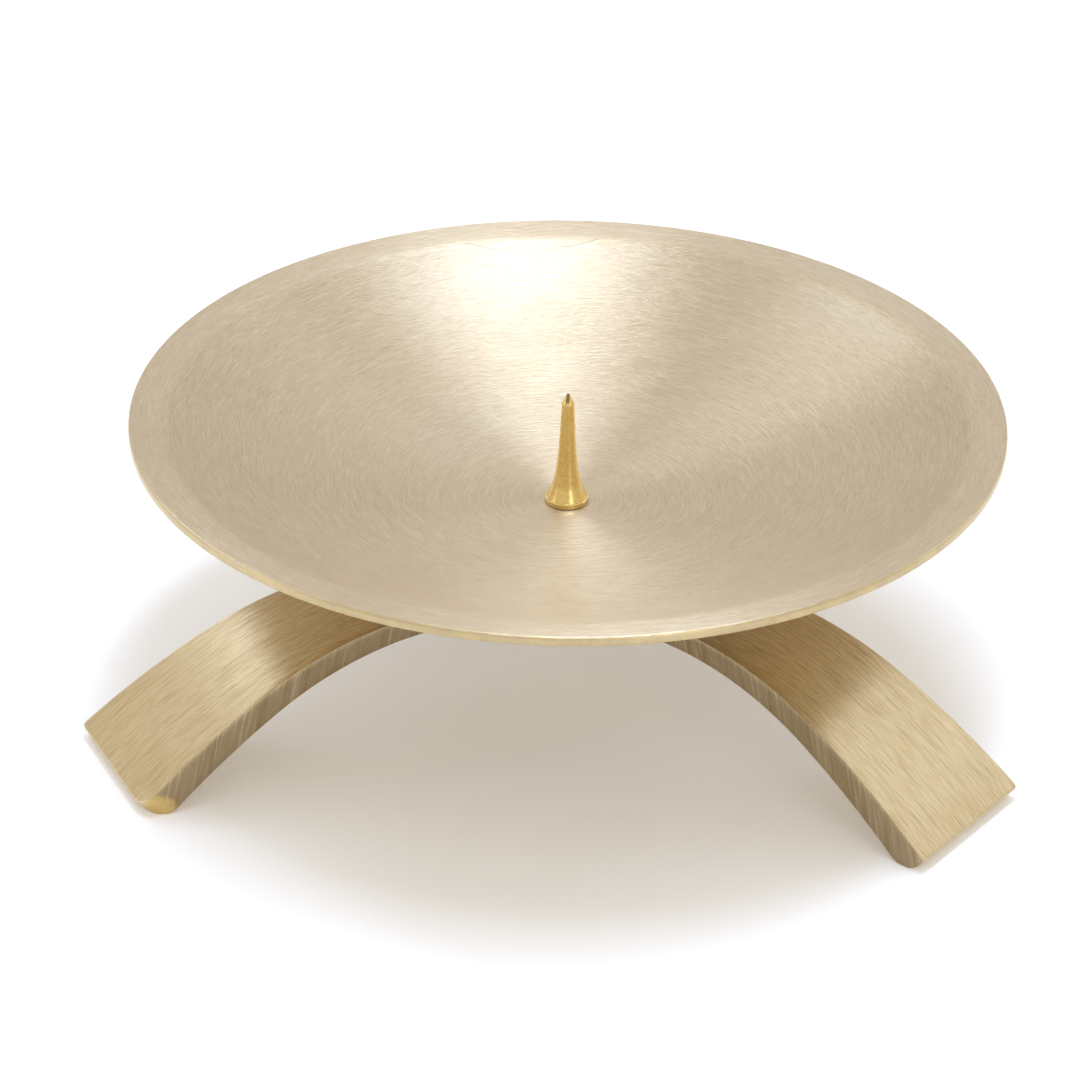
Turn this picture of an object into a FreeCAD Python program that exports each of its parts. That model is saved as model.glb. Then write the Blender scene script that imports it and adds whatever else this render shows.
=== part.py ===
import FreeCAD, Part
import math
import os

# Pillar candle holder: a shallow spun brass dish with a pricket spike, carried on a tripod of bent
# flat legs.  The spike's stud runs down through the dish, a spacer, the mitred legs and a washer,
# and one nut clamps the stack.  Millimetres, +Z up, origin on the axis at the floor.

# Dish: spun sheet, a shallow round hollow inside a narrow rim
RIM_DIAMETER = 150.0
SHEET = 1.65
DISH_DEPTH = 16.95        # top of the rim down to the seat inside
RIM_WIDTH = 6.15          # flat band outside the crease
RIM_RISE = 0.7            # how much the band climbs towards its edge
CREASE_RADIUS = 5.0       # soft bend between the band and the hollow, on the inside
RIM_EDGE_RADIUS = 0.5     # rounding of the rim's upper edge
RIM_UNDER_RADIUS = 0.3

# Spike: turned, with a thin flange, a trumpet foot and a short point
SPIKE_HEIGHT = 20.8
FLANGE_DIAMETER = 7.5
FLANGE_THICKNESS = 1.0
FLANGE_EDGE = 0.15
FOOT_RADIUS = 3.5         # where the trumpet leaves the flange
CALF_RADIUS = 2.85
CALF_HEIGHT = 2.5
FLARE_RADIUS = 2.3
FLARE_HEIGHT = 4.3
WAIST_RADIUS = 1.64
WAIST_HEIGHT = 8.7
SHOULDER_RADIUS = 1.07
POINT_LENGTH = 1.8
POINT_RADIUS = 0.3

# Stud and what it passes through
STUD_DIAMETER = 4.0
STUD_CLEARANCE = 0.3      # on diameter, in every plain hole
THREAD_CLEARANCE = 0.1    # on diameter, in the nut
STUD_PROTRUSION = 1.0     # beyond the nut
STUD_CHAMFER = 0.4
SPACER_DIAMETER = 16.0
SPACER_HEIGHT = 8.8
SPACER_CHAMFER = 0.5
SEAT_MARGIN = 0.5         # flat of the dish beyond the spacer
WASHER_DIAMETER = 20.0
WASHER_THICKNESS = 1.5
WASHER_CHAMFER = 0.25
NUT_ACROSS_FLATS = 7.0
NUT_HEIGHT = 3.2
NUT_CHAMFER_ANGLE = 30.0

# Legs: flat bar, wider and thicker towards the foot, bent down in two sweeps
LEG_AZIMUTHS = {"leg_rear": 90.0, "leg_left": 210.0, "leg_right": 330.0}
LEG_REACH = 84.3          # axis to the tip's upper edge
LEG_DROP = 23.2           # top of the flat middle down to the tip's upper edge
KNEE_RADIUS = 62.5        # first sweep, on the upper face
KNEE_ANGLE = 28.5         # slope where the second sweep starts
SHIN_RADIUS = 149.0       # second sweep, on the upper face
LEG_ROOT_WIDTH = 13.3     # on the axis
LEG_FOOT_WIDTH = 29.8
LEG_ROOT_THICKNESS = 4.1
LEG_FOOT_THICKNESS = 5.5
HEEL_RADIUS = 4.4         # rounding under the tip
FOOT_CORNER_RADIUS = 1.0  # seen from above
LEG_EDGE_RADIUS = 0.4
GROUND_DEPTH = 0.2        # ground off the heel, so each foot stands on a flat
MITRE_HALF_ANGLE = 60.0

FAR = 400.0               # larger than anything here, for cutting tools
AXIS_Z = FreeCAD.Vector(0, 0, 1)
ORIGIN = FreeCAD.Vector(0, 0, 0)


def xz(u, z):
    return FreeCAD.Vector(u, 0, z)


def line(start, end):
    return Part.LineSegment(start, end).toShape()


def arc(start, middle, end):
    return Part.Arc(start, middle, end).toShape()


def turned(edges):
    """Solid of revolution about Z from the edges of a closed half outline."""
    face = Part.Face(Part.Wire(edges))
    return face.revolve(ORIGIN, AXIS_Z, 360.0)


def outline(points):
    """Straight edges through the points, closed."""
    closed = points + points[:1]
    return [line(a, b) for a, b in zip(closed, closed[1:])]


def circles_at(shape, radius, z):
    """Whole circular edges of the given radius at the given height."""
    found = []
    for edge in shape.Edges:
        if not isinstance(edge.Curve, Part.Circle):
            continue
        if abs(edge.Curve.Radius - radius) < 1e-4 and abs(edge.Curve.Center.z - z) < 1e-4:
            found.append(edge)
    return found


def bored(shape, diameter):
    """The shape with a plain hole right through it on the axis."""
    drill = Part.makeCylinder(diameter / 2.0, 2.0 * FAR, FreeCAD.Vector(0, 0, -FAR))
    return shape.cut(drill)


def ring(diameter, height, chamfer, bottom_z):
    """Turned disc on the axis with chamfered rims and a clearance hole for the stud."""
    disc = Part.makeCylinder(diameter / 2.0, height, FreeCAD.Vector(0, 0, bottom_z))
    rims = circles_at(disc, diameter / 2.0, bottom_z)
    rims += circles_at(disc, diameter / 2.0, bottom_z + height)
    return bored(disc.makeChamfer(chamfer, rims), STUD_DIAMETER + STUD_CLEARANCE)


# Leg geometry, worked out in the plane of one leg with the flat middle's top at z = 0

knee = math.radians(KNEE_ANGLE)
knee_drop = KNEE_RADIUS * (1.0 - math.cos(knee))
tip = math.acos(math.cos(knee) - (LEG_DROP - knee_drop) / SHIN_RADIUS)
knee_run = KNEE_RADIUS * math.sin(knee)
shin_run = SHIN_RADIUS * (math.sin(tip) - math.sin(knee))
flat_end = LEG_REACH - knee_run - shin_run
knee_length = KNEE_RADIUS * knee
shin_length = SHIN_RADIUS * (tip - knee)
heel = min(HEEL_RADIUS, 0.9 * LEG_FOOT_THICKNESS)
heel_rise = (LEG_FOOT_THICKNESS - heel) * math.cos(tip) - heel * math.sin(tip) + heel
FLAT_TOP = LEG_DROP + heel_rise - GROUND_DEPTH


def upper_point(slope):
    """Point of the leg's upper face where it has the given slope."""
    if slope <= knee:
        return xz(flat_end + KNEE_RADIUS * math.sin(slope), KNEE_RADIUS * (math.cos(slope) - 1.0))
    run = flat_end + knee_run + SHIN_RADIUS * (math.sin(slope) - math.sin(knee))
    drop = knee_drop + SHIN_RADIUS * (math.cos(knee) - math.cos(slope))
    return xz(run, -drop)


def lower_point(slope):
    """Point of the underside below upper_point, square to the upper face."""
    if slope <= knee:
        along = KNEE_RADIUS * slope
    else:
        along = knee_length + SHIN_RADIUS * (slope - knee)
    growth = (LEG_FOOT_THICKNESS - LEG_ROOT_THICKNESS) * along / (knee_length + shin_length)
    thickness = LEG_ROOT_THICKNESS + growth
    return upper_point(slope) - xz(math.sin(slope), math.cos(slope)) * thickness


def leg_side_outline():
    """Closed outline of a leg seen from the side."""
    sweeps = [(0.0, knee), (knee, tip)]
    edges = [line(xz(0, 0), upper_point(0.0))]
    for a, b in sweeps:
        edges.append(arc(upper_point(a), upper_point((a + b) / 2.0), upper_point(b)))
    edges.append(line(upper_point(tip), lower_point(tip)))
    for a, b in reversed(sweeps):
        edges.append(arc(lower_point(b), lower_point((a + b) / 2.0), lower_point(a)))
    edges.append(line(lower_point(0.0), xz(0, -LEG_ROOT_THICKNESS)))
    edges.append(line(xz(0, -LEG_ROOT_THICKNESS), xz(0, 0)))
    return Part.Wire(edges)


def edges_through(shape, point, reach):
    """Edges that pass within reach of a point."""
    probe = Part.Vertex(point)
    return [edge for edge in shape.Edges if edge.distToShape(probe)[0] < reach]


def leg_plan():
    """Tall block with a leg's outline from above: a taper with rounded tip corners."""
    root = LEG_ROOT_WIDTH / 2.0
    foot = LEG_FOOT_WIDTH / 2.0
    corners = [
        FreeCAD.Vector(0, -root, -FAR),
        FreeCAD.Vector(LEG_REACH, -foot, -FAR),
        FreeCAD.Vector(LEG_REACH, foot, -FAR),
        FreeCAD.Vector(0, root, -FAR),
    ]
    block = Part.Face(Part.Wire(outline(corners))).extrude(FreeCAD.Vector(0, 0, 2.0 * FAR))
    tips = []
    for side in (-foot, foot):
        tips += edges_through(block, FreeCAD.Vector(LEG_REACH, side, 0), 0.01)
    return block.makeFillet(FOOT_CORNER_RADIUS, tips)


def long_edges(leg):
    """The upper and lower edges that run the length of a leg, from the flat middle to the tip."""
    found = []
    for share in (0.05, 0.5, 0.95):
        slope = tip * share
        for point in (upper_point(slope), lower_point(slope)):
            half = LEG_ROOT_WIDTH + (LEG_FOOT_WIDTH - LEG_ROOT_WIDTH) * point.x / LEG_REACH
            for side in (-half / 2.0, half / 2.0):
                spot = point + FreeCAD.Vector(0, side, 0)
                for edge in edges_through(leg, spot, 0.02):
                    if not any(edge.isSame(other) for other in found):
                        found.append(edge)
    return found


def make_leg(azimuth):
    side = Part.Face(leg_side_outline())
    side.translate(FreeCAD.Vector(0, -LEG_FOOT_WIDTH, 0))
    bar = side.extrude(FreeCAD.Vector(0, 2.0 * LEG_FOOT_WIDTH, 0))
    bar = bar.makeFillet(heel, edges_through(bar, lower_point(tip), 0.01))
    leg = bar.common(leg_plan())
    leg = leg.makeFillet(LEG_EDGE_RADIUS, long_edges(leg))
    spread = FAR * math.tan(math.radians(MITRE_HALF_ANGLE))
    wedge = [
        FreeCAD.Vector(0, 0, -FAR),
        FreeCAD.Vector(FAR, -spread, -FAR),
        FreeCAD.Vector(FAR, spread, -FAR),
    ]
    leg = leg.common(Part.Face(Part.Wire(outline(wedge))).extrude(FreeCAD.Vector(0, 0, 2.0 * FAR)))
    leg = bored(leg, STUD_DIAMETER + STUD_CLEARANCE)
    leg.translate(FreeCAD.Vector(0, 0, FLAT_TOP))
    above_floor = Part.makeBox(2.0 * FAR, 2.0 * FAR, FAR, FreeCAD.Vector(-FAR, -FAR, 0))
    leg = leg.common(above_floor)
    leg.rotate(ORIGIN, AXIS_Z, azimuth)
    return leg


# Heights of the stack, from the legs' flat middle up and down

DISH_BOTTOM = FLAT_TOP + SPACER_HEIGHT
SEAT = DISH_BOTTOM + SHEET
RIM_TOP = SEAT + DISH_DEPTH
WASHER_BOTTOM = FLAT_TOP - LEG_ROOT_THICKNESS - WASHER_THICKNESS
NUT_BOTTOM = WASHER_BOTTOM - NUT_HEIGHT
STUD_END = NUT_BOTTOM - STUD_PROTRUSION


def make_bowl():
    rim = RIM_DIAMETER / 2.0
    seat = SPACER_DIAMETER / 2.0 + SEAT_MARGIN
    crease = rim - RIM_WIDTH
    crease_z = RIM_TOP - RIM_RISE
    run = crease - seat
    climb = crease_z - SEAT
    sweep = (run ** 2 + climb ** 2) / (2.0 * climb)   # radius of the hollow, level at the seat
    centre_z = SEAT + sweep
    edge_slope = math.asin(run / sweep)
    band_slope = math.atan2(RIM_RISE, RIM_WIDTH)

    def hollow(radius, slope):
        return xz(seat + radius * math.sin(slope), centre_z - radius * math.cos(slope))

    # The sheet's underside meets on the bisector of the bend, one thickness below both faces.
    bisector = (edge_slope + band_slope) / 2.0
    offset = SHEET / math.cos((edge_slope - band_slope) / 2.0)
    crease_under = xz(crease + offset * math.sin(bisector), crease_z - offset * math.cos(bisector))
    under_slope = math.asin((crease_under.x - seat) / (sweep + SHEET))
    crease_under = hollow(sweep + SHEET, under_slope)
    rim_under = xz(rim, crease_under.z + (rim - crease_under.x) * math.tan(band_slope))
    edges = [
        line(xz(0, SEAT), xz(seat, SEAT)),
        arc(hollow(sweep, 0.0), hollow(sweep, edge_slope / 2.0), hollow(sweep, edge_slope)),
        line(hollow(sweep, edge_slope), xz(rim, RIM_TOP)),
        line(xz(rim, RIM_TOP), rim_under),
        line(rim_under, crease_under),
        arc(crease_under, hollow(sweep + SHEET, under_slope / 2.0), hollow(sweep + SHEET, 0.0)),
        line(xz(seat, DISH_BOTTOM), xz(0, DISH_BOTTOM)),
        line(xz(0, DISH_BOTTOM), xz(0, SEAT)),
    ]
    bowl = turned(edges)
    bowl = bowl.makeFillet(CREASE_RADIUS, circles_at(bowl, crease, crease_z))
    bowl = bowl.makeFillet(CREASE_RADIUS + SHEET, circles_at(bowl, crease_under.x, crease_under.z))
    bowl = bowl.makeFillet(RIM_EDGE_RADIUS, circles_at(bowl, rim, RIM_TOP))
    bowl = bowl.makeFillet(RIM_UNDER_RADIUS, circles_at(bowl, rim, rim_under.z))
    return bored(bowl, STUD_DIAMETER + STUD_CLEARANCE)


def make_spike():
    stud = STUD_DIAMETER / 2.0
    flange = FLANGE_DIAMETER / 2.0
    top = SEAT + FLANGE_THICKNESS
    shoulder_z = SEAT + SPIKE_HEIGHT - POINT_LENGTH
    waist = Part.BSplineCurve()
    waist.interpolate([
        xz(FOOT_RADIUS, top),
        xz(CALF_RADIUS, SEAT + CALF_HEIGHT),
        xz(FLARE_RADIUS, SEAT + FLARE_HEIGHT),
        xz(WAIST_RADIUS, SEAT + WAIST_HEIGHT),
        xz(SHOULDER_RADIUS, shoulder_z),
    ])
    summit = SEAT + SPIKE_HEIGHT
    # The rounded point: an arc tangent to nothing sharper than the cone needs.
    ball_z = summit - POINT_RADIUS
    ball_side = xz(POINT_RADIUS, ball_z)
    ball_middle = xz(POINT_RADIUS * math.sin(math.pi / 4.0), ball_z + POINT_RADIUS * math.cos(math.pi / 4.0))
    edges = [
        line(xz(0, STUD_END), xz(stud - STUD_CHAMFER, STUD_END)),
        line(xz(stud - STUD_CHAMFER, STUD_END), xz(stud, STUD_END + STUD_CHAMFER)),
        line(xz(stud, STUD_END + STUD_CHAMFER), xz(stud, SEAT)),
        line(xz(stud, SEAT), xz(flange - FLANGE_EDGE, SEAT)),
        line(xz(flange - FLANGE_EDGE, SEAT), xz(flange, SEAT + FLANGE_EDGE)),
        line(xz(flange, SEAT + FLANGE_EDGE), xz(flange, top - FLANGE_EDGE)),
        line(xz(flange, top - FLANGE_EDGE), xz(flange - FLANGE_EDGE, top)),
        line(xz(flange - FLANGE_EDGE, top), xz(FOOT_RADIUS, top)),
        waist.toShape(),
        line(xz(SHOULDER_RADIUS, shoulder_z), ball_side),
        arc(ball_side, ball_middle, xz(0, summit)),
        line(xz(0, summit), xz(0, STUD_END)),
    ]
    return turned(edges)


def make_nut():
    corner = NUT_ACROSS_FLATS / 2.0 / math.cos(math.radians(30.0))
    corners = []
    for step in range(6):
        angle = math.radians(60.0 * step)
        corners.append(FreeCAD.Vector(corner * math.cos(angle), corner * math.sin(angle), NUT_BOTTOM))
    prism = Part.Face(Part.Wire(outline(corners))).extrude(FreeCAD.Vector(0, 0, NUT_HEIGHT))
    # Cones that meet the flats' middle take the sharp corners off both ends.
    flat = NUT_ACROSS_FLATS / 2.0
    slant = (corner - flat) * math.tan(math.radians(NUT_CHAMFER_ANGLE))
    top = NUT_BOTTOM + NUT_HEIGHT
    envelope = turned(outline([
        xz(0, NUT_BOTTOM),
        xz(flat, NUT_BOTTOM),
        xz(corner, NUT_BOTTOM + slant),
        xz(corner, top - slant),
        xz(flat, top),
        xz(0, top),
    ]))
    return bored(prism.common(envelope), STUD_DIAMETER + THREAD_CLEARANCE)


def save(name, shape):
    solid = shape.Solids[0]
    if len(shape.Solids) != 1 or not solid.isValid():
        raise ValueError(f"{name}: {len(shape.Solids)} solids, valid {solid.isValid()}")
    solid.exportStep(f"parts/{name}.step")
    box = solid.BoundBox
    print(f"{name}: {solid.Volume / 1000.0:.2f} cm3, z {box.ZMin:.2f} to {box.ZMax:.2f}")


def main():
    os.makedirs("parts", exist_ok=True)
    print(f"floor to rim {RIM_TOP:.2f}, seat {SEAT:.2f}, flat middle of the legs {FLAT_TOP:.2f}")
    save("bowl", make_bowl())
    save("spike", make_spike())
    save("spacer", ring(SPACER_DIAMETER, SPACER_HEIGHT, SPACER_CHAMFER, FLAT_TOP))
    for name, azimuth in LEG_AZIMUTHS.items():
        save(name, make_leg(azimuth))
    save("washer", ring(WASHER_DIAMETER, WASHER_THICKNESS, WASHER_CHAMFER, WASHER_BOTTOM))
    save("nut", make_nut())


main()
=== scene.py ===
import math

import bmesh
import bpy
from mathutils import Matrix, Vector


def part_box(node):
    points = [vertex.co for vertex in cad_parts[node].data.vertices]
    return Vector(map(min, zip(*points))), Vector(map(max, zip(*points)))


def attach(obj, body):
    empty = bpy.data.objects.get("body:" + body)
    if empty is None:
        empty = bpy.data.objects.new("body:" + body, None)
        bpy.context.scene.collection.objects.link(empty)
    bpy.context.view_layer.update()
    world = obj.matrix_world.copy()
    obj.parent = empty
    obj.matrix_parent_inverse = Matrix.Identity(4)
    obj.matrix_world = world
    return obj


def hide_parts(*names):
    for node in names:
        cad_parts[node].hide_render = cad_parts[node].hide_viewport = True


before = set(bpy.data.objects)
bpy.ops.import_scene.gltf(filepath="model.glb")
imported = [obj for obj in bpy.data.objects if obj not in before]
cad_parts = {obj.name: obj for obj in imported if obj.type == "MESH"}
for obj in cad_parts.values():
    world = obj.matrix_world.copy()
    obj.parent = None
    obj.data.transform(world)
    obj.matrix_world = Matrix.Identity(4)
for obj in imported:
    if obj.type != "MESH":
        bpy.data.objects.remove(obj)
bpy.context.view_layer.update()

# Shape values that the frame's boxes don't give, in metres, the same as in the CAD source

MM = 0.001
SHEET = 1.65 * MM
RIM_WIDTH = 6.15 * MM
RIM_RISE = 0.7 * MM
DISH_DEPTH = 16.95 * MM
CREASE_RADIUS = 5.0 * MM
RIM_EDGE_RADIUS = 0.5 * MM
RIM_UNDER_RADIUS = 0.3 * MM
SEAT_MARGIN = 0.5 * MM
HOLE_CLEARANCE = 0.3 * MM
STUD_RADIUS = 2.0 * MM
HOLE_RADIUS = STUD_RADIUS + HOLE_CLEARANCE / 2.0

KNEE_RADIUS = 62.5 * MM
KNEE_SLOPE = math.radians(28.5)
SHIN_RADIUS = 149.0 * MM
LEG_REACH = 84.3 * MM
LEG_DROP = 23.2 * MM
LEG_ROOT_WIDTH = 13.3 * MM
LEG_FOOT_WIDTH = 29.8 * MM
LEG_ROOT_THICKNESS = 4.1 * MM
LEG_FOOT_THICKNESS = 5.5 * MM
HEEL_RADIUS = 4.4 * MM
FOOT_CORNER_RADIUS = 1.0 * MM
FILED_CORNER_RADIUS = 3.6 * MM        # front corner of the left foot
LEG_EDGE_RADIUS = 0.4 * MM
TIP_EDGE_RADIUS = 0.3 * MM
TIP_LEAST_THICKNESS = 0.4 * MM        # what the rounded heel leaves at the very tip
MITRE_HALF_ANGLE = math.radians(60.0)

# Heights read from the frame

RIM_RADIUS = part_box("bowl")[1].x
DISH_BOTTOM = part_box("spacer")[1].z
SEAT = DISH_BOTTOM + SHEET
RIM_TOP = SEAT + DISH_DEPTH
FLAT_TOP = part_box("spacer")[0].z
SPACER_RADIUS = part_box("spacer")[1].x
SPIKE_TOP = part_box("spike")[1].z
STUD_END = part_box("spike")[0].z


# How finely the meshes are cut

DISH_SEGMENTS = 360
SPIKE_SEGMENTS = 96
LEG_STEPS = 90                        # if they were even all along a leg
LEG_FINE_FROM = 84                    # the step where the finer ones towards the tip start
LEG_FINE_STEPS = 24
SAME_POINT = 1e-7                     # points closer than this are one
ON_AXIS = 1e-9
WELD_DISTANCE = 1e-6


# Mesh helpers

def make_object(name, bm, material, smooth_angle=40.0):
    """Object from a bmesh, smooth-shaded below the given angle."""
    bmesh.ops.recalc_face_normals(bm, faces=bm.faces)
    mesh = bpy.data.meshes.new(name)
    bm.to_mesh(mesh)
    bm.free()
    mesh.materials.append(material)
    for polygon in mesh.polygons:
        polygon.use_smooth = True
    mesh.set_sharp_from_angle(angle=math.radians(smooth_angle))
    piece = bpy.data.objects.new(name, mesh)
    bpy.context.scene.collection.objects.link(piece)
    return piece


def arc_points(centre, radius, start, end, steps):
    """Points on an arc in the (r, z) plane, angles in radians from +r."""
    points = []
    for step in range(steps + 1):
        angle = start + (end - start) * step / steps
        points.append((centre[0] + radius * math.cos(angle), centre[1] + radius * math.sin(angle)))
    return points


def line_points(start, end, steps):
    return [
        (start[0] + (end[0] - start[0]) * s / steps, start[1] + (end[1] - start[1]) * s / steps)
        for s in range(steps + 1)
    ]


def round_corner(before, corner, after, radius, steps):
    """Arc of the given radius tangent to the two straight runs that meet at a corner."""
    c = Vector(corner)
    a = (Vector(before) - c).normalized()
    b = (Vector(after) - c).normalized()
    half = a.angle(b) / 2.0
    centre = c + (a + b).normalized() * radius / math.sin(half)
    reach = radius / math.tan(half)
    start = c + a * reach - centre
    end = c + b * reach - centre
    from_angle = math.atan2(start.y, start.x)
    turn = math.atan2(start.x * end.y - start.y * end.x, start.dot(end))
    return arc_points(centre, radius, from_angle, from_angle + turn, steps)


def joined(*runs):
    """One list of points from several runs, without repeats."""
    points = []
    for run in runs:
        for p in run:
            if not points or (Vector(p) - Vector(points[-1])).length > SAME_POINT:
                points.append(p)
    return points


def revolve(name, profile, material, segments, closed=True, smooth_angle=40.0):
    """Turned piece from a profile in the (r, z) plane; points on the axis become single vertices."""
    bm = bmesh.new()
    rings = []
    for r, z in profile:
        if r < ON_AXIS:
            rings.append([bm.verts.new((0.0, 0.0, z))])
            continue
        ring = []
        for k in range(segments):
            angle = 2.0 * math.pi * k / segments
            ring.append(bm.verts.new((r * math.cos(angle), r * math.sin(angle), z)))
        rings.append(ring)
    pairs = list(zip(rings, rings[1:]))
    if closed:
        pairs.append((rings[-1], rings[0]))
    for lower, upper in pairs:
        if len(lower) == 1 and len(upper) == 1:
            continue
        for k in range(segments):
            n = (k + 1) % segments
            if len(lower) == 1:
                bm.faces.new((lower[0], upper[n], upper[k]))
            elif len(upper) == 1:
                bm.faces.new((lower[k], lower[n], upper[0]))
            else:
                bm.faces.new((lower[k], lower[n], upper[n], upper[k]))
    return make_object(name, bm, material, smooth_angle)


# Material helpers

COAT_ROUGHNESS = 0.3
QUARTER_TURN = 0.25


class Nodes:
    """Small helper that adds and links shader nodes in one tree."""

    def __init__(self, name):
        self.material = bpy.data.materials.new(name)
        self.material.use_nodes = True
        self.tree = self.material.node_tree
        self.tree.nodes.clear()
        self.output = self.tree.nodes.new("ShaderNodeOutputMaterial")

    def add(self, kind, **settings):
        node = self.tree.nodes.new(kind)
        for key, value in settings.items():
            setattr(node, key, value)
        return node

    def feed(self, socket, value):
        """Links an output to a socket, or sets the socket's own value."""
        if isinstance(value, bpy.types.NodeSocket):
            self.tree.links.new(value, socket)
        else:
            socket.default_value = value

    def math(self, operation, a, b=0.0):
        node = self.add("ShaderNodeMath", operation=operation)
        self.feed(node.inputs[0], a)
        self.feed(node.inputs[1], b)
        return node.outputs[0]

    def vector(self, operation, a, b=(0.0, 0.0, 0.0)):
        node = self.add("ShaderNodeVectorMath", operation=operation)
        self.feed(node.inputs[0], a)
        self.feed(node.inputs[1], b)
        return node.outputs["Value"] if operation in ("DOT_PRODUCT", "LENGTH") else node.outputs[0]

    def combine(self, x, y, z):
        node = self.add("ShaderNodeCombineXYZ")
        for socket, value in zip(node.inputs, (x, y, z)):
            self.feed(socket, value)
        return node.outputs[0]

    def separate(self, vector):
        node = self.add("ShaderNodeSeparateXYZ")
        self.feed(node.inputs[0], vector)
        return node.outputs

    def noise(self, vector, scale, detail=2.0, roughness=0.5):
        node = self.add("ShaderNodeTexNoise")
        self.feed(node.inputs["Vector"], vector)
        node.inputs["Scale"].default_value = scale
        node.inputs["Detail"].default_value = detail
        node.inputs["Roughness"].default_value = roughness
        return node.outputs["Fac"]

    def remap(self, value, low, high, to_low, to_high):
        node = self.add("ShaderNodeMapRange")
        for socket, setting in zip(node.inputs, (value, low, high, to_low, to_high)):
            self.feed(socket, setting)
        return node.outputs[0]

    def mix(self, factor, a, b):
        node = self.add("ShaderNodeMix", data_type="RGBA")
        self.feed(node.inputs[0], factor)
        self.feed(node.inputs[6], a)
        self.feed(node.inputs[7], b)
        return node.outputs[2]

    def bump(self, height, depth):
        """Normal for a surface that a height from 0 to 1 raises by up to the depth, in metres."""
        node = self.add("ShaderNodeBump")
        node.inputs["Strength"].default_value = 1.0
        node.inputs["Distance"].default_value = depth
        self.feed(node.inputs["Height"], height)
        return node.outputs[0]

    def metal(self, colour, roughness, normal, anisotropic, tangent, coat):
        """Brushed metal whose highlights stretch across the brushing, which runs along the tangent."""
        shader = self.add("ShaderNodeBsdfPrincipled")
        shader.inputs["Metallic"].default_value = 1.0
        self.feed(shader.inputs["Base Color"], colour)
        self.feed(shader.inputs["Roughness"], roughness)
        shader.inputs["Anisotropic"].default_value = anisotropic
        shader.inputs["Coat Weight"].default_value = coat
        shader.inputs["Coat Roughness"].default_value = COAT_ROUGHNESS
        shader.inputs["Anisotropic Rotation"].default_value = QUARTER_TURN
        self.feed(shader.inputs["Normal"], normal)
        self.feed(shader.inputs["Tangent"], tangent)
        self.tree.links.new(shader.outputs[0], self.output.inputs[0])
        return self.material


def rgb(r, g, b):
    """Linear colour from sRGB numbers out of 255."""
    def linear(c):
        c = c / 255.0
        return c / 12.92 if c <= 0.04045 else ((c + 0.055) / 1.055) ** 2.4
    return (linear(r), linear(g), linear(b), 1.0)


def from_axis(n, x, y):
    """Distance of the shaded point from the object's axis."""
    return n.math("SQRT", n.math("ADD", n.math("MULTIPLY", x, x), n.math("MULTIPLY", y, y)))


def around_axis(n):
    """Tangent that runs round the object's axis."""
    return n.add("ShaderNodeTangent", direction_type="RADIAL", axis="Z").outputs[0]


def edge_mask(n, radius):
    """1 on edges sharper than the given radius, 0 on open faces."""
    bevel = n.add("ShaderNodeBevel", samples=4)
    bevel.inputs["Radius"].default_value = radius
    true_normal = n.add("ShaderNodeNewGeometry").outputs["Normal"]
    return n.remap(n.vector("DOT_PRODUCT", bevel.outputs[0], true_normal), 0.99, 0.90, 0.0, 1.0)


SCRATCH_LENGTH_FREQUENCY = 55.0       # per metre, like every frequency here
SCRATCH_WIDTH_FREQUENCY = 2400.0
# Heading in degrees, and the noise level above which a line shows
SCRATCH_SETS = ((24.0, 0.67), (97.0, 0.68), (158.0, 0.68))


def straight_scratches(n, position, degrees, threshold):
    """Sparse fine lines at one heading across the XY plane, broken up by a slow mask."""
    heading = math.radians(degrees)
    along = n.vector("DOT_PRODUCT", position, (math.cos(heading), math.sin(heading), 0.0))
    across = n.vector("DOT_PRODUCT", position, (-math.sin(heading), math.cos(heading), 0.0))
    bend = n.math("MULTIPLY", n.noise(position, 12.0, 1.0), 0.02)
    lines = n.noise(n.combine(
        n.math("MULTIPLY", along, SCRATCH_LENGTH_FREQUENCY),
        n.math("MULTIPLY", n.math("ADD", across, bend), SCRATCH_WIDTH_FREQUENCY),
        degrees,
    ), 1.0, 1.0)
    patches = n.noise(n.vector("ADD", position, (degrees, 0.0, 0.0)), 70.0, 1.0)
    thin = n.remap(lines, threshold, threshold + 0.06, 0.0, 1.0)
    return n.math("MULTIPLY", thin, n.remap(patches, 0.52, 0.60, 0.0, 1.0))


DISH_LIGHT = rgb(194, 177, 148)
DISH_DEEP = rgb(185, 166, 135)
# Painted shade: the colour downward faces of the dish take, darker and warmer, so the legs mirror a
# shaded underside
DISH_UNDERSIDE_PAINTED_SHADE = rgb(176, 148, 98)
DISH_LINE = rgb(150, 130, 98)
DISH_GLINT = rgb(222, 208, 180)
DISH_EDGE = rgb(206, 186, 138)
DISH_ANISOTROPY = 0.78
DISH_COAT = 0.55
DISH_BRUSH_DEPTH = 0.1 * MM

# Strokes: frequency across them and along them, how far they wander in metres, noise detail
BROAD_STROKES = (2100.0, 150.0, 0.003, 3.0)
FINE_STROKES = (4600.0, 260.0, -0.004, 3.0)
CROSSING_STROKES = (2400.0, 420.0, 0.009, 2.0)

# A scuff on the back of the crease: an arc cut across the brushing, strongest at its two ends
SCUFF_CENTRE = (-24.0 * MM, 119.0 * MM, 0.0)
SCUFF_RADIUS = 55.0 * MM
SCUFF_MIDDLE = -13.5 * MM
SCUFF_HALF_LENGTH = 12.5 * MM
SCUFF_WIDTH = 0.28 * MM
SCUFF_FARTHEST_Y = 75.0 * MM


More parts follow.
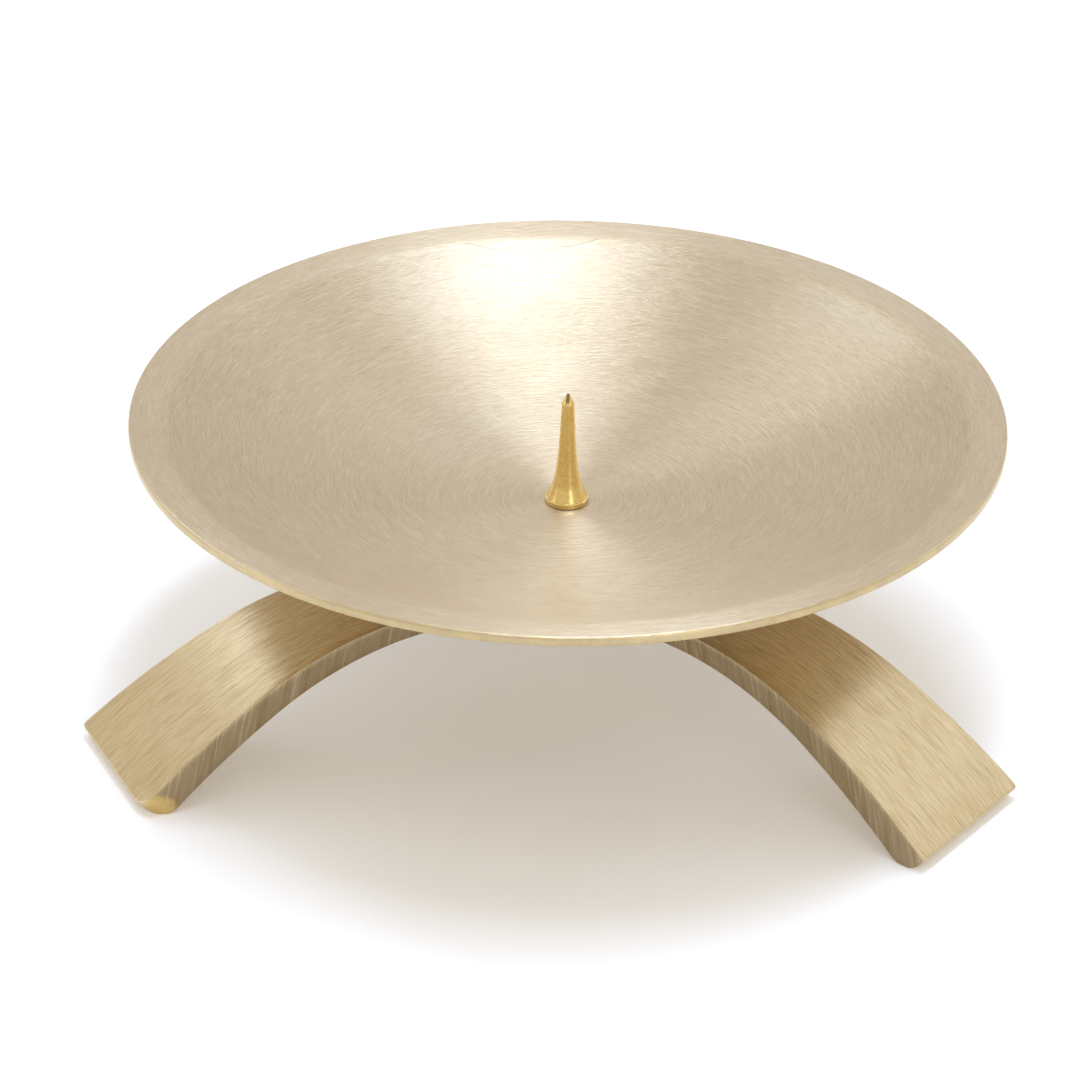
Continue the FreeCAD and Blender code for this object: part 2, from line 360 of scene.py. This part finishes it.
def crease_scuff(n, x, y):
    """1 on the scuff's line, 0 elsewhere."""
    flat = n.combine(x, y, 0.0)
    away = n.vector("LENGTH", n.vector("SUBTRACT", flat, SCUFF_CENTRE))
    off_line = n.math("ABSOLUTE", n.math("SUBTRACT", away, SCUFF_RADIUS))
    from_middle = n.math("ABSOLUTE", n.math("SUBTRACT", x, SCUFF_MIDDLE))
    line = n.remap(off_line, 0.0, SCUFF_WIDTH, 1.0, 0.0)
    ends = n.remap(from_middle, 0.3 * SCUFF_HALF_LENGTH, 0.8 * SCUFF_HALF_LENGTH, 0.45, 1.0)
    inside = n.remap(from_middle, SCUFF_HALF_LENGTH, 0.9 * SCUFF_HALF_LENGTH, 0.0, 1.0)
    near_side = n.math("LESS_THAN", y, SCUFF_FARTHEST_Y)
    behind = n.math("GREATER_THAN", y, 0.0)
    mark = n.math("MULTIPLY", n.math("MULTIPLY", line, ends), n.math("MULTIPLY", inside, near_side))
    return n.math("MULTIPLY", mark, behind)


def dish_brass():
    n = Nodes("dish_brass")
    position = n.add("ShaderNodeTexCoord").outputs["Object"]
    x, y, _ = n.separate(position)
    radius = from_axis(n, x, y)

    def strokes(across, along, wander, detail):
        """Noise drawn out along the circle; wander tilts the strokes a little here and there."""
        drift = n.math("MULTIPLY", n.noise(position, 70.0, 1.0), wander)
        return n.noise(n.combine(
            n.math("MULTIPLY", x, along),
            n.math("MULTIPLY", y, along),
            n.math("MULTIPLY", n.math("ADD", radius, drift), across),
        ), 1.0, detail, 0.65)

    broad = strokes(*BROAD_STROKES)
    fine = strokes(*FINE_STROKES)
    crossing = strokes(*CROSSING_STROKES)
    scratches = 0.0
    for degrees, threshold in SCRATCH_SETS:
        scratches = n.math("ADD", straight_scratches(n, position, degrees, threshold), scratches)
    height = n.math("ADD", broad, n.math("MULTIPLY", fine, 0.7))
    height = n.math("ADD", height, n.math("MULTIPLY", crossing, 0.5))
    height = n.math("SUBTRACT", height, n.math("MULTIPLY", scratches, 0.05))
    normal = n.bump(height, DISH_BRUSH_DEPTH)

    colour = n.mix(n.noise(position, 30.0, 3.0), DISH_LIGHT, DISH_DEEP)
    colour = n.mix(n.remap(n.math("ADD", fine, crossing), 1.00, 1.22, 0.0, 0.24), colour, DISH_LINE)
    colour = n.mix(n.remap(n.math("ADD", fine, broad), 1.00, 0.80, 0.0, 0.26), colour, DISH_GLINT)
    colour = n.mix(n.math("MULTIPLY", scratches, 0.15), colour, DISH_LINE)
    colour = n.mix(n.math("MULTIPLY", crease_scuff(n, x, y), 0.75), colour, DISH_LINE)
    # Painted shade: faces that look down go towards the darker underside colour
    facing = n.separate(n.add("ShaderNodeNewGeometry").outputs["Normal"])[2]
    colour = n.mix(n.remap(facing, 0.0, -0.2, 0.0, 0.85), colour, DISH_UNDERSIDE_PAINTED_SHADE)
    outer = n.remap(radius, RIM_RADIUS - 0.5 * MM, RIM_RADIUS - 0.1 * MM, 0.0, 1.0)
    mottle = n.remap(n.noise(position, 420.0, 3.0, 0.7), 0.35, 0.65, 0.35, 1.0)
    colour = n.mix(n.math("MULTIPLY", outer, mottle), colour, DISH_EDGE)
    roughness = n.remap(broad, 0.3, 0.7, 0.46, 0.40)
    roughness = n.math("SUBTRACT", roughness, n.math("MULTIPLY", edge_mask(n, 0.5 * MM), 0.12))
    return n.metal(colour, roughness, normal, DISH_ANISOTROPY, around_axis(n), DISH_COAT)


# Painted dark reflection on the spike's filed flat, standing in for the dark it mirrors
FLAT_PAINTED_REFLECTION = rgb(108, 92, 62)
LEG_FILED = rgb(232, 204, 130)
LEG_LIGHT = rgb(222, 204, 168)
LEG_DEEP = rgb(206, 184, 140)
LEG_LINE = rgb(138, 112, 70)
LEG_GLINT = rgb(236, 222, 190)
LEG_SIDE = rgb(166, 148, 118)
LEG_SIDE_LINE = rgb(200, 186, 158)
LEG_ANISOTROPY = 0.85
LEG_COAT = 0.05
LEG_BRUSH_DEPTH = 0.12 * MM

# Grain: frequency along the leg and across it, how far it wanders in metres, noise detail
COARSE_GRAIN = (60.0, 1500.0, 0.002, 3.0)
FINE_GRAIN = (220.0, 4400.0, -0.002, 3.0)
FINE_SAW_MARKS = 2300.0
BROAD_SAW_MARKS = 800.0


def leg_brass(azimuth, filed_corner=None):
    """Drawn bar: grain lengthwise on the faces, saw marks on the sides; one foot has a filed corner."""
    n = Nodes("leg_brass_%d" % round(math.degrees(azimuth)))
    position = n.add("ShaderNodeTexCoord").outputs["Object"]
    along = (math.cos(azimuth), math.sin(azimuth), 0.0)
    across = (-math.sin(azimuth), math.cos(azimuth), 0.0)
    u = n.vector("DOT_PRODUCT", position, along)
    v = n.vector("DOT_PRODUCT", position, across)
    z = n.separate(position)[2]
    face_normal = n.add("ShaderNodeNewGeometry").outputs["Normal"]
    sideways = n.math("ABSOLUTE", n.vector("DOT_PRODUCT", face_normal, across))
    on_side = n.remap(sideways, 0.55, 0.80, 0.0, 1.0)

    def grain(lengthwise, crosswise, wander, detail):
        """Noise drawn out along the leg."""
        drift = n.math("MULTIPLY", n.noise(position, 40.0, 1.0), wander)
        return n.noise(n.combine(
            n.math("MULTIPLY", u, lengthwise),
            n.math("MULTIPLY", n.math("ADD", v, drift), crosswise),
            n.math("MULTIPLY", z, lengthwise),
        ), 1.0, detail, 0.65)

    def striations(spacing):
        """Noise drawn out through the thickness, for the sawn sides."""
        lean = n.math("MULTIPLY", z, 0.25)
        return n.noise(n.combine(
            n.math("MULTIPLY", n.math("ADD", u, lean), spacing),
            n.math("MULTIPLY", v, 30.0),
            n.math("MULTIPLY", z, 60.0),
        ), 1.0, 2.0, 0.6)

    coarse = grain(*COARSE_GRAIN)
    fine = grain(*FINE_GRAIN)
    pit_place = n.combine(n.math("MULTIPLY", u, 150.0), n.math("MULTIPLY", v, 420.0), 0.0)
    pits = n.noise(pit_place, 1.0, 2.0)
    dents = n.remap(pits, 0.74, 0.80, 0.0, 1.0)
    top_height = n.math("ADD", coarse, n.math("MULTIPLY", fine, 0.6))
    top_height = n.math("SUBTRACT", top_height, dents)
    sawn = striations(FINE_SAW_MARKS)
    broad_sawn = striations(BROAD_SAW_MARKS)
    side_height = n.math("ADD", n.math("MULTIPLY", sawn, 0.8), broad_sawn)
    height = n.add("ShaderNodeMix", data_type="FLOAT")
    float_sockets = height.inputs[:1] + height.inputs[2:4]
    for socket, value in zip(float_sockets, (on_side, top_height, side_height)):
        n.feed(socket, value)
    normal = n.bump(height.outputs[0], LEG_BRUSH_DEPTH)

    top = n.mix(n.noise(position, 45.0, 3.0), LEG_LIGHT, LEG_DEEP)
    top = n.mix(n.remap(fine, 0.50, 0.70, 0.0, 0.40), top, LEG_LINE)
    top = n.mix(n.remap(coarse, 0.56, 0.72, 0.0, 0.30), top, LEG_LINE)
    top = n.mix(n.remap(fine, 0.48, 0.34, 0.0, 0.45), top, LEG_GLINT)
    top = n.mix(n.math("MULTIPLY", dents, 0.6), top, LEG_LINE)
    side = n.mix(n.remap(sawn, 0.54, 0.68, 0.0, 0.6), LEG_SIDE, LEG_SIDE_LINE)
    side = n.mix(n.remap(broad_sawn, 0.55, 0.35, 0.0, 0.4), side, LEG_LINE)
    colour = n.mix(on_side, top, side)
    if filed_corner is not None:
        away = n.vector("LENGTH", n.vector("SUBTRACT", position, filed_corner))
        lower = n.remap(on_side, 0.0, 0.6, 0.0, 1.0)
        rough_edge = n.math("MULTIPLY", n.noise(position, 900.0, 3.0, 0.7), 2.4 * MM)
        away = n.math("ADD", away, rough_edge)
        filed = n.math("MULTIPLY", n.remap(away, 5.6 * MM, 4.4 * MM, 0.0, 0.7), lower)
        colour = n.mix(filed, colour, LEG_FILED)
    worn = edge_mask(n, 0.5 * MM)
    colour = n.mix(n.math("MULTIPLY", worn, 0.6), colour, DISH_EDGE)
    roughness = n.remap(coarse, 0.3, 0.7, 0.34, 0.41)
    roughness = n.math("SUBTRACT", roughness, n.math("MULTIPLY", worn, 0.12))

    brushed = n.vector("CROSS_PRODUCT", face_normal, across)
    sawn_way = n.vector("CROSS_PRODUCT", face_normal, along)
    tangent = n.add("ShaderNodeMix", data_type="VECTOR")
    vector_sockets = tangent.inputs[:1] + tangent.inputs[4:6]
    for socket, value in zip(vector_sockets, (on_side, brushed, sawn_way)):
        n.feed(socket, value)
    return n.metal(colour, roughness, normal, LEG_ANISOTROPY, tangent.outputs[1], LEG_COAT)


TURNED_ANISOTROPY = 0.4
TURNED_COAT = 0.3
RING_FREQUENCY = 5200.0
# Where the painted dark reflection on the spike's filed flat sits
PAINTED_REFLECTION_FROM_TOP = 1.5 * MM
PAINTED_REFLECTION_OFF_CENTRE = 0.03 * MM
PAINTED_REFLECTION_HALF_WIDTH = 0.40 * MM


def turned_brass(name, light, deep, roughness, groove, painted_reflection_above=None):
    """Lathe-turned brass: fine rings all round, and above a height a painted dark reflection on the
    front, over the point's filed flat.
    """
    n = Nodes(name)
    position = n.add("ShaderNodeTexCoord").outputs["Object"]
    x, y, z = n.separate(position)
    rings = n.noise(n.combine(
        n.math("MULTIPLY", z, RING_FREQUENCY),
        n.math("MULTIPLY", from_axis(n, x, y), RING_FREQUENCY),
        n.math("MULTIPLY", n.math("ARCTAN2", y, x), 0.6),
    ), 1.0, 3.0, 0.6)
    grain = n.noise(position, 2200.0, 2.0, 0.6)
    normal = n.bump(n.math("ADD", rings, n.math("MULTIPLY", grain, 0.3)), groove)
    colour = n.mix(n.remap(n.math("ADD", grain, rings), 0.8, 1.2, 0.0, 1.0), light, deep)
    # Painted dark reflection: the colour goes dark along the front flat of the point
    if painted_reflection_above is not None:
        above = n.remap(z, painted_reflection_above, painted_reflection_above + 0.1 * MM, 0.0, 1.0)
        in_front = n.math("LESS_THAN", y, 0.0)
        aside = n.math("ABSOLUTE", n.math("ADD", x, PAINTED_REFLECTION_OFF_CENTRE))
        narrow = n.remap(aside, PAINTED_REFLECTION_HALF_WIDTH, 0.25 * MM, 0.0, 0.8)
        mark = n.math("MULTIPLY", n.math("MULTIPLY", above, in_front), narrow)
        colour = n.mix(mark, colour, FLAT_PAINTED_REFLECTION)
    worn = edge_mask(n, 0.25 * MM)
    rough = n.remap(n.noise(position, 350.0, 2.0), 0.3, 0.7, roughness - 0.04, roughness + 0.06)
    rough = n.math("SUBTRACT", rough, n.math("MULTIPLY", worn, 0.08))
    return n.metal(colour, rough, normal, TURNED_ANISOTROPY, around_axis(n), TURNED_COAT)


def spike_brass():
    light, deep = rgb(230, 204, 138), rgb(216, 186, 112)
    return turned_brass("spike_brass", light, deep, 0.24, 0.008 * MM, SPIKE_TOP - PAINTED_REFLECTION_FROM_TOP)


def hardware_brass():
    light, deep = rgb(214, 190, 134), rgb(196, 166, 102)
    return turned_brass("hardware_brass", light, deep, 0.32, 0.02 * MM)


# Dish

def dish_profile():
    """Section of the sheet: inside from the hole to the rim, then back along the underside."""
    seat = SPACER_RADIUS + SEAT_MARGIN
    crease = RIM_RADIUS - RIM_WIDTH
    crease_z = RIM_TOP - RIM_RISE
    run = crease - seat
    climb = crease_z - SEAT
    sweep = (run ** 2 + climb ** 2) / (2.0 * climb)
    under_sweep = sweep + SHEET
    centre = (seat, SEAT + sweep)
    edge_slope = math.asin(run / sweep)
    band_slope = math.atan2(RIM_RISE, RIM_WIDTH)
    down = -math.pi / 2.0

    def on_sweep(radius, slope):
        """The place on the dish's curve, or on its underside, that has the given slope."""
        return centre[0] + radius * math.sin(slope), centre[1] - radius * math.cos(slope)

    bisector = (edge_slope + band_slope) / 2.0
    offset = SHEET / math.cos((edge_slope - band_slope) / 2.0)
    under_x = crease + offset * math.sin(bisector)
    under_slope = math.asin((under_x - seat) / under_sweep)
    under = on_sweep(under_sweep, under_slope)
    rim_under = (RIM_RADIUS, under[1] + (RIM_RADIUS - under[0]) * math.tan(band_slope))
    rim_top = (RIM_RADIUS, RIM_TOP)

    bend = CREASE_RADIUS * math.tan((edge_slope - band_slope) / 2.0)
    inner_end = edge_slope - bend / sweep
    outer_bend = (CREASE_RADIUS + SHEET) * math.tan((under_slope - band_slope) / 2.0)
    outer_end = under_slope - outer_bend / under_sweep
    crease_point = (crease, crease_z)
    inner_last = on_sweep(sweep, inner_end)
    outer_last = on_sweep(under_sweep, outer_end)

    return joined(
        line_points((HOLE_RADIUS, SEAT), (seat, SEAT), 4),
        arc_points(centre, sweep, down, down + inner_end, 60),
        round_corner(inner_last, crease_point, rim_top, CREASE_RADIUS, 8),
        round_corner(crease_point, rim_top, rim_under, RIM_EDGE_RADIUS, 6),
        round_corner(rim_top, rim_under, under, RIM_UNDER_RADIUS, 4),
        round_corner(rim_under, under, outer_last, CREASE_RADIUS + SHEET, 8),
        list(reversed(arc_points(centre, under_sweep, down, down + outer_end, 50))),
        line_points((seat, DISH_BOTTOM), (HOLE_RADIUS, DISH_BOTTOM), 3),
    )


def make_bowl():
    piece = revolve("dish", dish_profile(), dish_brass(), DISH_SEGMENTS)
    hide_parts("bowl")
    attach(piece, "root")


# Legs: each is swept along its own curve as rings of a rounded bar section, then mitred at the root

TIP_SLOPE = math.acos(
    math.cos(KNEE_SLOPE) - (LEG_DROP - KNEE_RADIUS * (1.0 - math.cos(KNEE_SLOPE))) / SHIN_RADIUS
)
KNEE_LENGTH = KNEE_RADIUS * KNEE_SLOPE
SHIN_LENGTH = SHIN_RADIUS * (TIP_SLOPE - KNEE_SLOPE)
FLAT_END = LEG_REACH - KNEE_RADIUS * math.sin(KNEE_SLOPE) - SHIN_RADIUS * (
    math.sin(TIP_SLOPE) - math.sin(KNEE_SLOPE)
)
LEG_LENGTH = FLAT_END + KNEE_LENGTH + SHIN_LENGTH


def leg_station(along):
    """Reach, height under the flat top, slope and thickness at a length along the upper face."""
    if along <= FLAT_END:
        return along, 0.0, 0.0, LEG_ROOT_THICKNESS
    past = along - FLAT_END
    share = past / (KNEE_LENGTH + SHIN_LENGTH)
    thickness = LEG_ROOT_THICKNESS + (LEG_FOOT_THICKNESS - LEG_ROOT_THICKNESS) * share
    if past <= KNEE_LENGTH:
        slope = past / KNEE_RADIUS
        reach = FLAT_END + KNEE_RADIUS * math.sin(slope)
        return reach, -KNEE_RADIUS * (1.0 - math.cos(slope)), slope, thickness
    slope = KNEE_SLOPE + (past - KNEE_LENGTH) / SHIN_RADIUS
    knee_reach = FLAT_END + KNEE_RADIUS * math.sin(KNEE_SLOPE)
    knee_drop = KNEE_RADIUS * (1.0 - math.cos(KNEE_SLOPE))
    reach = knee_reach + SHIN_RADIUS * (math.sin(slope) - math.sin(KNEE_SLOPE))
    return reach, -knee_drop - SHIN_RADIUS * (math.cos(KNEE_SLOPE) - math.cos(slope)), slope, thickness


def rounding(distance, radius):
    """How far a corner of the given radius has drawn in, at a distance from the end."""
    if distance >= radius:
        return 0.0
    return radius - math.sqrt(max(radius ** 2 - (radius - distance) ** 2, 0.0))


def section(half_left, half_right, top, bottom, edge, steps=3, spans=14):
    """Ring of (across, through) points around a bar with rounded long edges."""
    edge = min(edge, 0.45 * (top - bottom), 0.45 * (half_left + half_right))
    ring = []
    corners = (
        (half_right - edge, top - edge, 0.0),
        (-half_left + edge, top - edge, 90.0),
        (-half_left + edge, bottom + edge, 180.0),
        (half_right - edge, bottom + edge, 270.0),
    )
    for index, (cx, cz, start) in enumerate(corners):
        for step in range(steps + 1):
            angle = math.radians(start + 90.0 * step / steps)
            ring.append((cx + edge * math.cos(angle), cz + edge * math.sin(angle)))
        following = corners[(index + 1) % 4]
        angle = math.radians(following[2])
        end = (following[0] + edge * math.cos(angle), following[1] + edge * math.sin(angle))
        begin = ring[-1]
        count = spans if index in (0, 2) else 4
        for step in range(1, count):
            share = step / count
            ring.append((begin[0] + (end[0] - begin[0]) * share, begin[1] + (end[1] - begin[1]) * share))
    return ring


def leg_lengths():
    """Stations along a leg, closer together towards the rounded tip."""
    lengths = [LEG_LENGTH * step / LEG_STEPS for step in range(LEG_FINE_FROM + 1)]
    start = lengths[-1]
    for step in range(1, LEG_FINE_STEPS + 1):
        share = math.sin(math.radians(90.0 * step / LEG_FINE_STEPS))
        lengths.append(start + (LEG_LENGTH - start) * share)
    return lengths


def make_leg(node, azimuth, front_corner, material):
    """One leg: a swept bar, cut to its mitre and opened for the stud at the root."""
    bm = bmesh.new()
    rings = []
    for along in leg_lengths():
        reach, drop, slope, thickness = leg_station(along)
        left = LEG_LENGTH - along
        heel = rounding(left, HEEL_RADIUS)
        crown = rounding(left, TIP_EDGE_RADIUS)
        bottom = min(-thickness + heel, -crown - TIP_LEAST_THICKNESS)
        width = LEG_ROOT_WIDTH + (LEG_FOOT_WIDTH - LEG_ROOT_WIDTH) * reach / LEG_REACH
        half_left = width / 2.0 - rounding(left, FOOT_CORNER_RADIUS)
        half_right = width / 2.0 - rounding(left, front_corner)
        ring = []
        for across, through in section(half_left, half_right, -crown, bottom, LEG_EDGE_RADIUS):
            u = reach + through * math.sin(slope)
            w = FLAT_TOP + drop + through * math.cos(slope)
            ring.append(bm.verts.new((u, across, max(w, 0.0))))
        rings.append(ring)
    for lower, upper in zip(rings, rings[1:]):
        for k in range(len(lower)):
            n = (k + 1) % len(lower)
            bm.faces.new((lower[k], lower[n], upper[n], upper[k]))
    bm.faces.new(rings[0])
    bm.faces.new(rings[-1])
    # Mitre: two vertical planes through the axis, one to each side of the leg
    for side in (-1.0, 1.0):
        normal = (-math.sin(MITRE_HALF_ANGLE), -side * math.cos(MITRE_HALF_ANGLE), 0.0)
        everything = bm.verts[:] + bm.edges[:] + bm.faces[:]
        cut = bmesh.ops.bisect_plane(
            bm, geom=everything, dist=SAME_POINT,
            plane_co=(0.0, 0.0, 0.0), plane_no=normal, clear_outer=True,
        )
        loose = [g for g in cut["geom_cut"] if isinstance(g, bmesh.types.BMEdge)]
        bmesh.ops.holes_fill(bm, edges=loose, sides=0)
    # Hole: whatever is nearer the axis than the hole's wall moves out to it
    for vert in bm.verts:
        away = math.hypot(vert.co.x, vert.co.y)
        if away < HOLE_RADIUS:
            aim = Vector((vert.co.x, vert.co.y)) if away > WELD_DISTANCE else Vector((1.0, 0.0))
            aim.normalize()
            vert.co.x = aim.x * HOLE_RADIUS
            vert.co.y = aim.y * HOLE_RADIUS
    bmesh.ops.remove_doubles(bm, verts=bm.verts, dist=WELD_DISTANCE)
    bmesh.ops.rotate(bm, verts=bm.verts, cent=(0.0, 0.0, 0.0), matrix=Matrix.Rotation(azimuth, 3, "Z"))
    piece = make_object(node + "_bar", bm, material)
    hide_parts(node)
    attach(piece, "root")


# Spike: the turned profile again, with the little file mark on its point

SPIKE_FLANGE_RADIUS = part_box("spike")[1].x
FLANGE_THICKNESS = 1.0 * MM
FLANGE_EDGE = 0.15 * MM
POINT_LENGTH = 1.8 * MM
POINT_RADIUS = 0.3 * MM
STUD_CHAMFER = 0.4 * MM
THREAD_PITCH = 0.7 * MM
THREAD_DEPTH = 0.25 * MM
FILE_MARK_DEPTH = 0.12 * MM
FILE_MARK_ABOVE_SHOULDER = 0.1 * MM
# Radius and height above the dish, mm
WAIST = ((3.5, 1.0), (2.85, 2.5), (2.3, 4.3), (1.64, 8.7), (1.07, 19.0))


def spline_value(t, a, b, c, d):
    """Catmull-Rom value between b and c."""
    square = (2 * a - 5 * b + 4 * c - d) * t ** 2
    cube = (3 * b - a - 3 * c + d) * t ** 3
    return 0.5 * (2 * b + (c - a) * t + square + cube)


def smooth_curve(points, steps):
    """Catmull-Rom curve through the points."""
    full = [points[0]] + list(points) + [points[-1]]
    curve = []
    for p0, p1, p2, p3 in zip(full, full[1:], full[2:], full[3:]):
        for step in range(steps):
            t = step / steps
            curve.append(tuple(spline_value(t, *values) for values in zip(p0, p1, p2, p3)))
    curve.append(points[-1])
    return curve


def spike_profile():
    """Half section: the stud's end, the rings of its thread, the flange, the trumpet and the point."""
    waist = [(r * MM, SEAT + h * MM) for r, h in WAIST]
    points = [(0.0, STUD_END), (STUD_RADIUS - STUD_CHAMFER, STUD_END)]
    z = STUD_END + STUD_CHAMFER
    while z < FLAT_TOP:
        points.append((STUD_RADIUS, z))
        points.append((STUD_RADIUS - THREAD_DEPTH, z + THREAD_PITCH / 2.0))
        z += THREAD_PITCH
    points.append((STUD_RADIUS, z))
    flange = SPIKE_FLANGE_RADIUS
    top = SEAT + FLANGE_THICKNESS
    points += [
        (STUD_RADIUS, SEAT),
        (flange - FLANGE_EDGE, SEAT),
        (flange, SEAT + FLANGE_EDGE),
        (flange, top - FLANGE_EDGE),
        (flange - FLANGE_EDGE, top),
    ]
    ball = SPIKE_TOP - POINT_RADIUS
    point = line_points(waist[-1], (POINT_RADIUS, ball), 4)
    tip = arc_points((0.0, ball), POINT_RADIUS, 0.0, math.pi / 2.0, 5)
    return joined(points, smooth_curve(waist, 14), point, tip)


def make_spike():
    piece = revolve(
        "spike_turned", spike_profile(), spike_brass(), SPIKE_SEGMENTS, closed=False, smooth_angle=35.0
    )
    shoulder = SPIKE_TOP - POINT_LENGTH
    for vert in piece.data.vertices:
        # File mark: a flat along the front of the cone
        if vert.co.z > shoulder + FILE_MARK_ABOVE_SHOULDER:
            share = (vert.co.z - shoulder) / (POINT_LENGTH - POINT_RADIUS)
            cone = WAIST[-1][0] * MM * (1.0 - share) + POINT_RADIUS * share
            vert.co.y = max(vert.co.y, FILE_MARK_DEPTH - cone)
    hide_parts("spike")
    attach(piece, "root")


def leg_point(azimuth, reach, across, height):
    """A place on a leg, in the frame's own axes."""
    return (
        reach * math.cos(azimuth) - across * math.sin(azimuth),
        reach * math.sin(azimuth) + across * math.cos(azimuth),
        height,
    )


LEGS = (                              # node, heading in degrees, whether its front corner is filed
    ("leg_rear", 90.0, False),
    ("leg_left", 210.0, True),
    ("leg_right", 330.0, False),
)

make_bowl()
make_spike()
for node, degrees, filed in LEGS:
    turn = math.radians(degrees)
    front_corner, filed_place = FOOT_CORNER_RADIUS, None
    if filed:
        front_corner = FILED_CORNER_RADIUS
        filed_place = leg_point(turn, LEG_REACH - LEG_FOOT_THICKNESS / 2.0, LEG_FOOT_WIDTH / 2.0, 0.0)
    make_leg(node, turn, front_corner, leg_brass(turn, filed_place))
hardware = hardware_brass()
for node in ("spacer", "washer", "nut"):
    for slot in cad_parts[node].material_slots:
        slot.material = hardware


# Stage: floor, lights and camera

FLOOR_SIZE = 12.0
FLOOR_GREY = (0.88, 0.88, 0.88, 1.0)
FLOOR_GLOW = 0.12                     # lightens the shadow a little


def make_floor():
    bm = bmesh.new()
    bmesh.ops.create_grid(bm, x_segments=1, y_segments=1, size=FLOOR_SIZE)
    n = Nodes("floor_white")
    shader = n.add("ShaderNodeBsdfPrincipled")
    shader.inputs["Base Color"].default_value = FLOOR_GREY
    shader.inputs["Emission Color"].default_value = (1.0, 1.0, 1.0, 1.0)
    shader.inputs["Emission Strength"].default_value = FLOOR_GLOW
    shader.inputs["Roughness"].default_value = 0.9
    shader.inputs["Specular IOR Level"].default_value = 0.1
    n.tree.links.new(shader.outputs[0], n.output.inputs[0])
    floor = make_object("floor", bm, n.material)


def area_light(name, location, target, size, power, colour=(1.0, 1.0, 1.0)):
    data = bpy.data.lights.new(name, "AREA")
    data.shape = "RECTANGLE"
    data.size, data.size_y = size
    data.energy = power
    data.color = colour
    light = bpy.data.objects.new(name, data)
    light.location = location
    light.rotation_euler = (Vector(target) - Vector(location)).to_track_quat("-Z", "Y").to_euler()
    light.visible_camera = False
    bpy.context.scene.collection.objects.link(light)


def make_world(strength, tint):
    world = bpy.data.worlds.new("studio")
    bpy.context.scene.world = world
    world.use_nodes = True
    background = world.node_tree.nodes["Background"]
    background.inputs[0].default_value = (*tint, 1.0)
    background.inputs[1].default_value = strength


# Camera: its place, angles and lens were fitted to the object's outline in the reference view
CAMERA_PLACE = (0.0758, -0.7931, 0.4821)
CAMERA_TILT = 60.31           # degrees about X: 90 looks level
CAMERA_ROLL = -0.633          # degrees about Y
CAMERA_TURN = 6.145           # degrees about Z
CAMERA_LENS = 176.5
CAMERA_SENSOR = 36.0


def make_camera():
    data = bpy.data.cameras.new("camera")
    data.sensor_width = CAMERA_SENSOR
    data.lens = CAMERA_LENS
    data.clip_start = 0.05
    data.clip_end = 20.0
    camera = bpy.data.objects.new("camera", data)
    camera.location = CAMERA_PLACE
    camera.rotation_euler = [math.radians(a) for a in (CAMERA_TILT, CAMERA_ROLL, CAMERA_TURN)]
    bpy.context.scene.collection.objects.link(camera)
    bpy.context.scene.camera = camera


# Lights: strengths and tints started from a fit to the reference view and were then set one by one
OVERHEAD_TINT = (0.60, 0.71, 0.95)
REAR_TINT = (0.62, 0.75, 1.0)
SIDE_TINT = (0.66, 0.75, 1.0)
WORLD_TINT = (1.0, 0.95, 0.86)
WORLD_STRENGTH = 0.875
DISH_AIM = (0.0, 0.0, 0.05)
FRONT_AIM = (0.0, 0.0, 0.04)
LEG_AIM = (0.0, 0.0, 0.03)

make_floor()
make_world(WORLD_STRENGTH, WORLD_TINT)
area_light("overhead", (0.065, 0.16, 1.15), DISH_AIM, (0.20, 0.62), 7.5, OVERHEAD_TINT)
area_light("overhead_rear", (0.01, 0.76, 0.86), DISH_AIM, (0.16, 0.50), 0.5, REAR_TINT)
area_light("overhead_right", (-0.64, 0.50, 0.88), DISH_AIM, (0.20, 0.6), 2.1, REAR_TINT)
area_light("rear", (0.0, 2.2, 1.3), DISH_AIM, (2.6, 1.0), 1.9, REAR_TINT)
area_light("rear_right", (1.0, 0.66, 0.90), LEG_AIM, (0.6, 0.6), 1.6, REAR_TINT)
area_light("front_right", (0.62, -0.95, 0.50), FRONT_AIM, (0.36, 0.6), 1.2)
area_light("side_left", (-1.3, -0.35, 0.38), LEG_AIM, (0.5, 0.5), 1.6, SIDE_TINT)
make_camera()
bpy.context.scene.view_settings.view_transform = "Standard"
